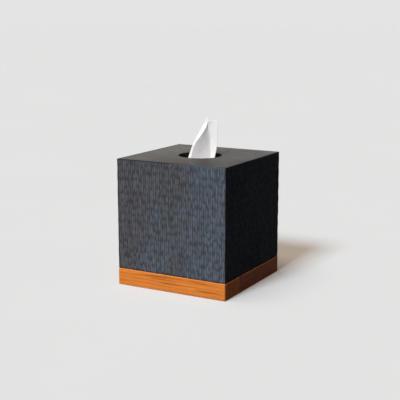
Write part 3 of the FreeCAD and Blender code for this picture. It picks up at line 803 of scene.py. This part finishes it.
@dataclass(kw_only=True)
class CarvedBoards(CoverBoard):
    """The cover's four side boards, mitred together and carved all over with upright gouge strokes.

    Sizes are in metres. Strays, halves and depths of strokes are shares of the pitch across, of the row
    along and of the full depth, and those with two values hold the least and the most. The skew is how far
    above its middle a stroke is deepest, as a share of half its length. Spare rows and columns of strokes
    lie beyond the board, of which the first few stand before it. The arris is painted pale, as a highlight,
    over the light's span, counted in half widths from the middle. Shaded corners and tops are how dark the
    painted shade along those rims is.
    """

    thickness: float = 0.010
    easing: float = 0.0008
    stroke_pitch: float = 0.0030
    stroke_row: float = 0.0088
    stroke_depth: float = 0.00032
    stroke_skew: float = 0.24
    stray: Span = (0.19, 0.32)
    half_across: Span = (0.44, 0.58)
    half_along: Span = (0.52, 0.80)
    deepest: Span = (0.45, 1.0)
    lean: float = 0.010
    ridge_sink: float = 0.00010
    ridge_tone: float = 0.3
    corner_blend: float = 0.0014
    corner_wander: float = 0.00012
    corner_waves: Waves = (7, 20.0, 90.0)
    corner_seed: int = 900
    shaded_corner: float = 0.35
    shaded_top: float = 0.8
    arris_light: Span = (-0.10, 0.20)
    arris_tone: Span = (1.0, 2.2)
    rim_reach: float = 0.0011
    spare: tuple[int, int] = (6, 8)
    first: int = 2
    columns: int = 320
    rows: int = 220
    arc_steps: int = 4
    sharp: float = math.radians(50.0)
    seed: int = 40

    def strokes(self, across: np.ndarray, height: np.ndarray, seed: int) -> tuple[np.ndarray, np.ndarray]:
        """How deep the carving lies at each point of one side, and the tone of the stroke there.

        Every stroke is a scoop whose depth is its own deepest value times one less the squares of the
        shares across it and along it. Its deepest point lies a little above its middle, so its upper end is
        the steeper one. Strokes stand side by side in level rows, and the deepest of those round a point
        counts, so that sharp ridges stay between them.

        Args:
            across: Distances from the board's middle, in metres.
            height: Heights above the board's foot, in metres.
            seed: The board's own seed.

        Returns:
            Depths below the board's face in metres, and tones from 0 to 1.
        """
        pitch, rise = self.stroke_pitch, self.stroke_row
        shape = (int((self.top - self.foot) / rise) + self.spare[0],
                 int(2 * self.half_width / pitch) + self.spare[1])
        rng = np.random.default_rng(seed)
        spans = ((-self.stray[0], self.stray[0]), (-self.stray[1], self.stray[1]), self.half_across,
                 self.half_along, self.deepest)
        units = (pitch, rise, pitch, rise, self.stroke_depth)
        table = [rng.uniform(*span, shape) * unit for span, unit in zip(spans, units)]
        table = np.stack(table + [rng.normal(0.0, self.lean, shape), rng.uniform(0.0, 1.0, shape)])
        depth = np.full(np.broadcast(across, height).shape, self.ridge_sink)
        tone = np.full(depth.shape, self.ridge_tone)
        nearest_row = np.floor(height / rise).astype(int) + self.first
        nearest_column = np.round((across + self.half_width) / pitch).astype(int) + self.first
        for row_step, column_step in product((-1, 0, 1), repeat=2):
            row = np.clip(nearest_row + row_step, 0, shape[0] - 1)
            column = np.clip(nearest_column + column_step, 0, shape[1] - 1)
            stray_across, stray_along, half_across, half_along, deepest, lean, shade = table[:, row, column]
            along = height - (row - self.first + 0.5) * rise - stray_along
            aside = across + self.half_width - (column - self.first) * pitch - stray_across - lean * along
            past = along - self.stroke_skew * half_along
            reach = half_along * (1.0 - self.stroke_skew * np.sign(past))
            scoop = self.ridge_sink + deepest * (1.0 - (aside / half_across) ** 2 - (past / reach) ** 2)
            tone = np.where(scoop > depth, shade, tone)
            depth = np.maximum(depth, scoop)
        return depth, tone

    def corner_line(self, height: np.ndarray, corner: int) -> np.ndarray:
        """How far an upright corner's arris is cut back: the ridges' depth and a slow wander of its own.

        Args:
            height: Heights, in metres.
            corner: The corner's number, which is its left-hand side's.

        Returns:
            Depths below the board's face in metres.
        """
        rng = np.random.default_rng(self.corner_seed + corner)
        wander = np.clip(wave_field(rng, height, 0.0, *self.corner_waves), -1.0, 1.0)
        return self.ridge_sink + self.corner_wander * (1.0 + wander)

    def section(self, depth: np.ndarray, heights: np.ndarray) -> tuple[np.ndarray, np.ndarray]:
        """The section at every column, from the inner foot round the carved face to the inner top.

        The foot's edge and the arris are arcs of a circle, and the carving runs out round them.

        Args:
            depth: The carving's depth, row by row.
            heights: Each row's height.

        Returns:
            Distances from the box's middle plane, and heights.
        """
        shoulder, heel = heights[-1:], heights[:1]
        steps = np.linspace(0.0, 1.0, self.arc_steps + 1)[1:, None]
        swing, heel_swing = steps * math.pi / 4, steps[::-1] * math.pi / 2
        arris_off = self.half_width - self.arris * (1.0 - np.cos(swing)) - depth[-1:] * (1.0 - steps)
        heel_off = self.half_width - self.easing * (1.0 - np.cos(heel_swing)) - depth[:1] * (1.0 - steps[::-1])
        inner = np.full((1, self.columns), self.half_width - self.thickness)
        level = np.ones((1, self.columns))
        off = np.concatenate([inner, heel_off, self.half_width - depth, arris_off, inner])
        up = np.concatenate([self.foot * level, (heel - self.easing * np.sin(heel_swing)) * level,
                             heights * level, (shoulder + self.arris * np.sin(swing)) * level,
                             (self.top - self.thickness) * level])
        return off, up

    def add_fields(self, piece: bpy.types.Object, share: np.ndarray, heights: np.ndarray, depth: np.ndarray,
                   tone: np.ndarray) -> None:
        """Store the strokes' depth and tone, which the material paints as light and shade, and the painted
        shade of the rims, which falls off with distance.

        The arris is painted pale as a highlight to the right of the middle, where it catches the light.

        Args:
            piece: The board.
            share: Each column's share of the way from the middle to the corner.
            heights: Each row's height.
            depth: The carving's depth, row by row.
            tone: The strokes' tones, row by row.
        """
        pad = ((self.arc_steps + 1, self.arc_steps + 1), (0, 0))
        arris = slice(-self.arc_steps - 1, None)
        # Painted highlight: the arris turns pale to the right of the middle, where it catches the light.
        start, end = self.arris_light
        pale_share = smooth_step((share - start) / (end - start))
        # The strokes' depth, which the material paints as light and shade; on the arris it holds the painted
        # highlight.
        depth_and_highlight = np.pad((depth - self.ridge_sink) / self.stroke_depth, pad)
        depth_and_highlight[arris] = pale_share
        tone = np.pad(tone, pad, "edge")
        tone[arris] = np.interp(pale_share, (0.0, 1.0), self.arris_tone)
        # Painted shade along the rims: full at the left corner, weaker at the right, along the foot by the
        # base, and along the top except where the highlight is.
        near_side = np.exp(-(1.0 - np.abs(share)) * self.half_width / self.rim_reach)
        near_side = near_side * np.where(share < 0, 1.0, self.shaded_corner)
        near_foot = np.exp(-(heights - self.foot) / self.rim_reach)
        near_top = self.shaded_top * np.exp(-(self.top - heights) / self.rim_reach) * (1.0 - pale_share)
        rim = np.pad(np.maximum(near_side, np.maximum(near_foot, near_top)), pad, "edge")
        for name, values in (("depth_and_highlight", depth_and_highlight), ("tone", tone), ("rim", rim)):
            add_field(piece, name, values)

    def build(self, side: Side) -> None:
        """Make one board.

        Its section is carried from mitre to mitre: each point lies as far to the side as its share of the
        way times its distance from the box's middle plane.

        Args:
            side: Which side it stands on.
        """
        share = np.linspace(-1.0, 1.0, self.columns)[None, :]
        heights = np.linspace(self.foot + self.easing, self.top - self.arris, self.rows)[:, None]
        depth, tone = self.strokes(share * self.half_width, heights - self.foot, self.seed + side.value)
        left = self.corner_line(heights, side.value)
        right = self.corner_line(heights, (side.value + 1) % len(Side))
        corner = np.where(share < 0, left, right)
        inward = (1.0 - np.abs(share)) * self.half_width / self.corner_blend
        depth = corner + (depth - corner) * smooth_step(inward)
        off, up = self.section(depth, heights)
        points = np.stack([share * off, -off, up], axis=-1)
        starts = np.arange(off.shape[0]) * self.columns
        faces = grid_quads(off.shape[0], self.columns, wrap_rows=True).tolist()
        caps = [starts.tolist(), (starts[::-1] + self.columns - 1).tolist()]
        name = side.name.lower()
        piece = new_piece(name + "_board", quarter_turned(points.reshape(-1, 3), side), faces + caps)
        self.add_fields(piece, share, heights, depth, tone)
        for polygon in piece.data.polygons[-len(caps):]:
            polygon.use_smooth = False
        piece.data.set_sharp_from_angle(angle=self.sharp)
        settle(piece, self.material, name + "_panel")


@dataclass(kw_only=True)
class TopBoard(CoverBoard):
    """The smooth top board with the round hole, mitred to the four sides.

    Sizes are in metres. The hole's wall, the underside and a band along the outer edges are painted dark as
    shade, and the share says how much of the hole's rounded rim is painted as dark as its wall.
    """

    hole_radius: float = 0.027
    rim_radius: float = 0.0013
    under_radius: float = 0.0008
    rim_reach: float = 0.0016
    rim_share: float = 0.4
    sharp: float = math.radians(40.0)
    turns: int = 288
    arc_steps: int = 6
    flat_rings: int = 40

    def profile(self) -> np.ndarray:
        """The section from the hole's lower rim over the top to the mitre's foot.

        Returns:
            Rows of distance from the middle, height, and the share of the way from a circle to a square.
        """
        middle, edge = self.hole_radius + self.rim_radius, self.half_width - self.arris
        rows = [(self.hole_radius + self.under_radius, self.under, 0.0),
                (self.hole_radius, self.under + self.under_radius, 0.0)]
        for swing in np.linspace(0.0, math.pi / 2, self.arc_steps + 1):
            rows.append((middle - self.rim_radius * math.cos(swing),
                         self.top - self.rim_radius * (1.0 - math.sin(swing)), 0.0))
        for share in np.linspace(0.0, 1.0, self.flat_rings + 1)[1:]:
            rows.append((middle + (edge - middle) * share, self.top, share))
        for swing in np.linspace(0.0, math.pi / 4, self.arc_steps)[1:]:
            rows.append((edge + self.arris * math.sin(swing), self.top - self.arris * (1.0 - math.cos(swing)),
                         1.0))
        rows.append((self.half_width - (self.top - self.under), self.under, 1.0))
        return np.array(rows)

    def build(self) -> None:
        """Carry the section round the hole.

        At each turn a point lies on a circle of its own distance, on the square round that circle, or
        between the two.
        """
        distance, height, squareness = (column[:, None] for column in self.profile().T)
        turn = np.linspace(0.0, math.tau, self.turns, endpoint=False)[None, :]
        stretch = 1.0 / np.maximum(np.abs(np.cos(turn)), np.abs(np.sin(turn)))
        points = ring(distance * (1.0 + (stretch - 1.0) * squareness), turn, height)
        faces = grid_quads(points.shape[0], self.turns, wrap_rows=True, wrap_columns=True)[:, ::-1].tolist()
        piece = new_piece("top_board", points, faces)
        # Painted shade: dark on the hole's wall, part of its rounded rim and the underside, and darkening
        # towards the outer edges.
        lip = self.hole_radius + self.rim_share * self.rim_radius
        inside = (distance <= lip) | (height < self.top - 2 * self.arris)
        edge = np.maximum(np.abs(points[..., 0]), np.abs(points[..., 1]))
        near_edge = np.exp(-(self.half_width - edge) / self.rim_reach)
        add_field(piece, "rim", np.where(inside, 1.0, near_edge))
        piece.data.set_sharp_from_angle(angle=self.sharp)
        settle(piece, self.material, "top_panel")


# The base and what it carries


@dataclass
class Base:
    """The base board's staves and the strips on it, which keep the shapes of their nodes.

    The pith is where the front stave's trunk had its middle, across and up, in metres, and it moves by one
    step from stave to stave. The ends say how much the end grain keeps of the long grain's colour.
    """

    staves: tuple[str, ...] = ("base_stave_front", "base_stave_mid_front", "base_stave_mid_back",
                               "base_stave_back")
    strips: tuple[str, ...] = ("strip_front", "strip_right", "strip_back", "strip_left")
    pith: Span = (0.05, 0.061111)
    pith_step: Span = (0.013, 0.021)
    front_end: Colour = (1.0, 0.95, 0.90)
    darker_end: Colour = (0.40, 0.25, 0.15)

    def build(self) -> None:
        """Dress the staves, each cut from another place in the trunk, and the strips."""
        for number, node in enumerate(self.staves):
            across, up = (start + step * number for start, step in zip(self.pith, self.pith_step))
            end_tone = self.darker_end if number else self.front_end
            dress(node, TeakFinish("teak_stave_%d" % number, (across, up), end_tone).make())
        planed = StripFinish().make()
        for node in self.strips:
            dress(node, planed)


@dataclass
class TissuePile:
    """The interleaved tissues in the carton, one block of thin soft layers.

    Sizes are in metres. Fullness is how much of its box the pile fills across, and squareness is the power
    that draws a circle out to a square with round corners.
    """

    finish: TissueFinish
    low: Vector = field(default_factory=lambda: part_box("tissue_stack")[0])
    high: Vector = field(default_factory=lambda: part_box("tissue_stack")[1])
    layers: int = 62
    rows_per_layer: int = 3
    layer_depth: float = 0.0006
    uneven: float = 0.0003
    uneven_rate: float = 6.0
    uneven_waves: Waves = (9, 2.0, 9.0)
    sag: float = 0.00012
    sag_waves: Waves = (7, 0.6, 1.8)
    crown_drop: float = 0.0001
    seed: int = 71
    fullness: float = 0.985
    squareness: float = 14.0
    turns: int = 160
    cap_rings: int = 12

    def build(self) -> None:
        """Carry a layered section round a rounded square, and close it above and below.

        The plan is a circle drawn out to a square with round corners, and its edge steps in and out with
        each layer by the cosine of the height.
        """
        rng = np.random.default_rng(self.seed)
        turn = np.linspace(0.0, math.tau, self.turns, endpoint=False)[None, :]
        power = self.squareness
        outline = (np.abs(np.cos(turn)) ** power + np.abs(np.sin(turn)) ** power) ** (-1.0 / power)
        share = np.linspace(0.0, 1.0, self.layers * self.rows_per_layer + 1)[:, None]
        step_in = self.layer_depth * (0.5 - 0.5 * np.cos(math.tau * share * self.layers))
        stray = wave_field(rng, turn / math.tau, share * self.uneven_rate, *self.uneven_waves)
        half = (self.high.x - self.low.x) / 2
        reach = outline * half * self.fullness - step_in - self.uneven * np.clip(1.0 + stray, 0.0, None)
        side = ring(reach, turn, self.low.z + (self.high.z - self.low.z) * share)
        inward = np.linspace(1.0, 0.0, self.cap_rings + 1)[1:-1, None]
        rise = wave_field(rng, inward * np.cos(turn), inward * np.sin(turn), *self.sag_waves)
        dip = self.sag * (1.0 + np.clip(rise, -1.0, 1.0)) * (1.0 - inward ** 4)
        cap = ring(reach[-1:] * inward, turn, self.high.z - dip)
        middles = [[0.0, 0.0, self.high.z - self.crown_drop], [0.0, 0.0, self.low.z]]
        points = np.concatenate([side.reshape(-1, 3), cap.reshape(-1, 3), middles])
        rows = side.shape[0] + cap.shape[0]
        here = np.arange(self.turns)
        after = (here + 1) % self.turns
        top, bottom = np.full(self.turns, rows * self.turns), np.full(self.turns, rows * self.turns + 1)
        last = (rows - 1) * self.turns
        fans = np.concatenate([np.stack([last + here, last + after, top], axis=1),
                               np.stack([after, here, bottom], axis=1)])
        piece = new_piece("tissue_pile", points,
                          grid_quads(rows, self.turns, wrap_columns=True).tolist() + fans.tolist())
        settle(piece, self.finish.make(), "tissue_stack")


@dataclass(frozen=True)
class Crease:
    """One crease of the drawn tissue, or one of its side edges, from its foot over its bends to its head.

    Places are shares of the gather's reach across and towards the front, and of the tissue's rise upwards.
    """

    foot: Span
    bends: tuple[Triple, ...]

    def places(self, foot_up: float, shares: np.ndarray) -> np.ndarray:
        """Places along the crease, evenly measured along its bends.

        Args:
            foot_up: The foot's height, as a share of the tissue's rise.
            shares: Shares of its length from foot to head.

        Returns:
            One row of shares across, towards the front and up for each place.
        """
        corners = np.array([(*self.foot, foot_up), *self.bends])
        lengths = np.linalg.norm(np.diff(corners, axis=0), axis=1)
        run = np.concatenate([[0.0], np.cumsum(lengths)]) / lengths.sum()
        return np.stack([np.interp(shares, run, column) for column in corners.T], axis=1)


@dataclass
class DrawnTissue:
    """The tissue that stands in the hole, gathered into pleats, with its other end lying on the pile.

    Sizes are in metres. Reach is half the gather's width and the slit holds half its size along the film's
    slit and across it. Lying is how far behind the middle the other end lies, at its far edge and where it
    lifts, and its pleats are spread in height by a share of their place across the slit. Free says from
    which level the paper is free to bow, and over how many levels.
    """

    finish: TissueFinish
    cover_top: float = field(default_factory=lambda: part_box("top_panel")[1].z)
    rise: float = 0.0475
    reach: float = 0.0185
    turn: float = math.radians(29.0)
    foot_sink: float = 0.005
    slit: Span = (0.015, 0.0097)
    slit_turn: float = math.radians(17.0)
    lying_scale: float = 0.0268
    lying: Span = (0.0518, 0.0135)
    lying_level: float = 0.00145
    lying_spread: float = 0.115
    paper: float = 0.00016
    panel_columns: int = 16
    panel_ease: float = 0.12
    rising_levels: int = 13
    rows_per_span: tuple[int, ...] = (14, 10, 8)
    rows_per_rise: int = 5
    crease_blur: float = 0.13
    free: Span = (2.6, 1.2)
    bow: float = 0.00030
    wrinkle: float = 0.00012
    wrinkle_slant: float = 0.6
    wrinkle_waves: Waves = (8, 25.0, 110.0)
    seed: int = 29
    flat_size: Span = (0.200, 0.105)
    creases: tuple[Crease, ...] = (
        Crease((-0.84, -0.05), ((-0.55, -0.08, 0.24), (-0.12, -0.14, 0.56), (0.30, -0.22, 0.89),
                                (0.46, -0.26, 1.0))),
        Crease((-0.69, 0.20), ((-0.41, 0.17, 0.30), (0.19, 0.04, 0.60), (0.49, -0.12, 0.79),
                               (0.52, -0.17, 0.94))),
        Crease((0.73, -0.22), ((0.66, -0.20, 0.41), (0.53, -0.18, 0.78), (0.535, -0.175, 0.90))),
        Crease((0.86, -0.02), ((0.97, 0.00, 0.20), (0.98, -0.02, 0.60), (0.98, -0.06, 0.915))),
        Crease((0.96, 0.11), ((1.11, 0.12, 0.13), (1.18, 0.11, 0.45), (1.18, 0.06, 0.86))),
        Crease((0.80, -0.48), ((1.00, -0.30, 0.80),)),
        Crease((-0.46, -0.14), ((0.46, -0.40, 0.74),)),
        Crease((0.64, -0.70), ((0.90, -0.36, 0.66),)),
        Crease((-0.40, -0.42), ((0.32, -0.62, 0.56),)),
        Crease((0.30, -0.94), ((0.56, -0.74, 0.46),)),
        Crease((-0.42, -0.66), ((0.10, -0.74, 0.40),)),
        Crease((0.02, -1.08), ((0.20, -0.90, 0.32),)),
        Crease((-0.50, -0.86), ((-0.10, -0.86, 0.26),)),
    )

    @staticmethod
    def turned(plan: np.ndarray, angle: float) -> np.ndarray:
        """Places across and towards the front, turned about +Z into X and Y.

        Args:
            plan: Rows of the place across and towards the front.
            angle: The turn, in radians.

        Returns:
            Rows of X and Y.
        """
        across, front = plan[:, 0], plan[:, 1]
        return np.stack([across * math.cos(angle) + front * math.sin(angle),
                         across * math.sin(angle) - front * math.cos(angle)], axis=1)

    def key_rows(self) -> np.ndarray:
        """The creases' places at each bend of the sheet, from its lying end to its heads.

        Returns:
            One layer for each level, with a row of X, Y and Z for each crease.
        """
        feet = np.array([crease.foot for crease in self.creases])
        across, front = feet.T
        middle, half = (front.max() + front.min()) / 2, (front.max() - front.min()) / 2
        squeezed = np.stack([across / np.abs(across).max() * self.slit[0],
                             (front - middle) / half * self.slit[1]], axis=1)
        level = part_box("tissue_stack")[1].z + self.lying_level - squeezed[:, 1] * self.lying_spread
        keys = [np.stack([across * self.lying_scale, np.full(len(feet), distance), level], axis=1)
                for distance in self.lying]
        slit_level = sum(corner.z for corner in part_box("carton_film")) / 2
        keys.append(np.column_stack([self.turned(squeezed, self.slit_turn), np.full(len(feet), slit_level)]))
        shares = np.linspace(0.0, 1.0, self.rising_levels)
        paths = np.array([crease.places(-self.foot_sink / self.rise, shares) for crease in self.creases])
        for places in paths.transpose(1, 0, 2):
            plan = self.turned(places[:, :2] * self.reach, self.turn)
            keys.append(np.column_stack([plan, self.cover_top + places[:, 2] * self.rise]))
        return np.array(keys)

    def bowed(self, sheet: np.ndarray, across: np.ndarray, rows: np.ndarray) -> np.ndarray:
        """The sheet with its panels bowed and softly wrinkled along their own normals.

        The lift is largest in a panel's middle, by the squared sine of the way across it, and the part in
        the slit stays as it is.

        Args:
            sheet: The sheet's points, row by row.
            across: Each column's place, counted in panels.
            rows: Each row's place, counted in levels.

        Returns:
            The moved points.
        """
        normal = np.cross(np.gradient(sheet, axis=1), np.gradient(sheet, axis=0))
        normal /= np.linalg.norm(normal, axis=-1, keepdims=True) + 1e-12
        rng = np.random.default_rng(self.seed)
        panel = np.floor(across).astype(int)
        bulge = np.sin(math.pi * (across - panel)) ** 2
        bow = rng.uniform(-0.5, 0.5, len(self.creases))[panel]
        slanted = sheet[..., 0] + self.wrinkle_slant * sheet[..., 1]
        wrinkle = wave_field(rng, slanted, sheet[..., 2], *self.wrinkle_waves)
        free = smooth_step((rows - self.free[0]) / self.free[1])[:, None]
        lift = free * bulge * (self.bow * bow + self.wrinkle * wrinkle)
        return sheet + normal * lift[..., None]

    def build(self) -> None:
        """Make the sheet.

        Each point is a mean of the creases' key places, weighed by how near it lies to each crease and
        level. The weights are blurred a little across, which rounds the creases.
        """
        keys = self.key_rows()
        panels = len(self.creases) - 1
        step = np.linspace(0.0, 1.0, self.panel_columns, endpoint=False)
        eased = step - self.panel_ease * np.sin(math.tau * step)
        across = np.append((np.arange(panels)[:, None] + eased).ravel(), panels)
        stations = np.arange(panels + 1.0)
        weights = sum(hat_weights(np.clip(across + self.crease_blur * offset, 0.0, panels), stations) * part
                      for offset, part in ((-1.0, 0.25), (0.0, 0.5), (1.0, 0.25)))
        counts = self.rows_per_span + (self.rows_per_rise,) * (self.rising_levels - 1)
        spans = [np.linspace(index, index + 1, count, endpoint=False) for index, count in enumerate(counts)]
        rows = np.append(np.concatenate(spans), len(counts))
        levels = hat_weights(rows, np.arange(len(keys), dtype=float))
        sheet = self.bowed(np.einsum("tk,sf,kfx->tsx", levels, weights, keys), across, rows)
        piece = new_piece("drawn_tissue", sheet, grid_quads(*sheet.shape[:2]).tolist())
        thick = piece.modifiers.new("paper", "SOLIDIFY")
        thick.thickness = self.paper
        thick.offset = 0.0
        settle(piece, self.finish.make(), "tissue")


# The studio


@dataclass(frozen=True)
class Lamp:
    """A far soft lamp that stands on a bearing from the box and covers a spread of the sky, in degrees."""

    name: str
    bearing: Triple
    spread: float
    strength: float
    colour: Colour

    def hang(self) -> None:
        """Put the lamp in the scene."""
        data = bpy.data.lights.new(self.name, "SUN")
        data.angle = math.radians(self.spread)
        data.energy = self.strength
        data.color = self.colour
        lamp = bpy.data.objects.new(self.name, data)
        lamp.rotation_euler = (-Vector(self.bearing)).to_track_quat("-Z", "Y").to_euler()
        bpy.context.scene.collection.objects.link(lamp)


@dataclass
class Studio:
    """A pale floor, plain soft lamps and the camera of the photograph.

    The aim is a point in the box's middle, and the camera is aimed a little beside and above it. Distances
    are in metres, the lens and its sensor in millimetres. The floor has its seen tone, the glow that its
    shadows keep and the dark tone with which it lights the box. The lamps light the front and the top and
    leave the right side in shade.
    """

    azimuth: float = math.radians(29.09)
    elevation: float = math.radians(11.40)
    distance: float = 1.139
    aim: Triple = (0.0, 0.0, 0.0825)
    aim_right: float = -0.000225
    aim_up: float = 0.018885
    lens: float = 80.55
    sensor: float = 36.0
    lamps: tuple[Lamp, ...] = (
        Lamp("front_lamp", (-0.06, -0.72, 0.69), 16.0, 4.50, (0.847, 0.927, 1.0)),
        Lamp("upper_lamp", (-0.17, -0.18, 1.0), 36.0, 2.25, (1.0, 0.855, 0.728)),
        Lamp("back_lamp", (-0.75, 0.80, 0.65), 60.0, 0.12, (1.0, 1.0, 1.0)),
    )
    floor_half: float = 40.0
    floor_tone: Colour = (0.4245, 0.4527, 0.4821)
    floor_dark: Colour = (0.03, 0.03, 0.03)
    floor_glow: Colour = (0.110, 0.070, 0.030)
    backdrop: Colour = (0.775, 0.775, 0.775)
    sky: Colour = (0.97, 0.98, 1.0)
    sky_strength: float = 0.015

    def camera(self) -> None:
        """Set the camera on the line from the box at the photograph's bearing and height."""
        back = Vector((math.sin(self.azimuth) * math.cos(self.elevation),
                       -math.cos(self.azimuth) * math.cos(self.elevation), math.sin(self.elevation)))
        right = Vector((math.cos(self.azimuth), math.sin(self.azimuth), 0.0))
        up = back.cross(right)
        data = bpy.data.cameras.new("camera")
        data.lens = self.lens
        data.sensor_width = self.sensor
        data.clip_start = 0.01
        camera = bpy.data.objects.new("camera", data)
        place = Vector(self.aim) + right * self.aim_right + up * self.aim_up + back * self.distance
        camera.matrix_world = Matrix.Translation(place) @ Matrix((right, up, back)).transposed().to_4x4()
        bpy.context.scene.collection.objects.link(camera)
        bpy.context.scene.camera = camera

    @staticmethod
    def seen(nodes: Nodes) -> Socket:
        """Whether a ray shows the surface itself: from the camera, a gloss or through something clear.

        Args:
            nodes: The writer of the world or of a material.

        Returns:
            1 where it does, and else 0.
        """
        path = nodes.add("ShaderNodeLightPath").outputs
        direct = nodes.math("MAXIMUM", path["Is Camera Ray"], path["Is Glossy Ray"])
        return nodes.math("MAXIMUM", direct, path["Is Transmission Ray"])

    def world(self) -> None:
        """A pale background that gives the box only a little light."""
        world = bpy.data.worlds.new("studio")
        bpy.context.scene.world = world
        world.use_nodes = True
        world.node_tree.nodes.clear()
        nodes = Nodes(world.node_tree)
        pale = nodes.add("ShaderNodeBackground", {"Color": self.backdrop, "Strength": 1.0})
        dim = nodes.add("ShaderNodeBackground", {"Color": self.sky, "Strength": self.sky_strength})
        chosen = nodes.add("ShaderNodeMixShader", {0: self.seen(nodes), 1: dim.outputs[0], 2: pale.outputs[0]})
        nodes.add("ShaderNodeOutputWorld", {"Surface": chosen.outputs[0]})

    def floor(self) -> None:
        """A pale sheet of floor that takes the shadow and throws little light back."""
        corners = self.floor_half * np.array([[-1.0, -1.0, 0.0], [1.0, -1.0, 0.0], [1.0, 1.0, 0.0],
                                              [-1.0, 1.0, 0.0]])
        piece = new_piece("floor", corners, [[0, 1, 2, 3]], smooth=False)
        material, nodes, shader = new_material("pale_floor")
        grain = nodes.spread(nodes.noise(nodes.here(), 3.0), (0.2, 0.8), (0.992, 1.008))
        pale = nodes.tinted(self.floor_tone, nodes.grey(grain))
        seen = self.seen(nodes)
        nodes.fill(shader, {
            "Base Color": nodes.mix(seen, self.floor_dark, pale),
            "Emission Color": nodes.mix(seen, (0.0, 0.0, 0.0), self.floor_glow),
            "Emission Strength": 1.0,
            "Roughness": 1.0,
            "Specular IOR Level": 0.0,
        })
        piece.data.materials.append(material)

    def build(self) -> None:
        """Set up everything round the box."""
        self.camera()
        for lamp in self.lamps:
            lamp.hang()
        self.world()
        self.floor()
        bpy.context.scene.view_settings.view_transform = "Standard"


def main() -> None:
    """Build the box from the outside in, and the studio round it."""
    logging.basicConfig(level=logging.INFO, format="%(name)s: %(message)s")
    carved = BlackWoodFinish(name="carved_black_wood", plain_and_painted_lit=(0.105, 0.105, 0.106), pore_and_painted_shade=(0.050, 0.050, 0.051),
                             specular=0.003, roughness=(0.5, 0.7), carved=True, tint_drift=(0.18, -0.42))
    smooth = BlackWoodFinish(name="smooth_black_wood", plain_and_painted_lit=(0.064, 0.057, 0.045), pore_and_painted_shade=(0.030, 0.026, 0.020),
                             specular=0.028, roughness=(0.36, 0.44), carved=False, tint_drift=(0.18, 0.0),
                             painted_shade=0.60)
    boards = CarvedBoards(material=carved.make())
    for side in Side:
        boards.build(side)
    TopBoard(material=smooth.make()).build()
    Base().build()
    dress("tissue_carton", CardFinish().make())
    dress("carton_film", FilmFinish().make())
    TissuePile(TissueFinish("piled_tissue")).build()
    DrawnTissue(TissueFinish()).build()
    Studio().build()


if __name__ == "__main__":
    main()
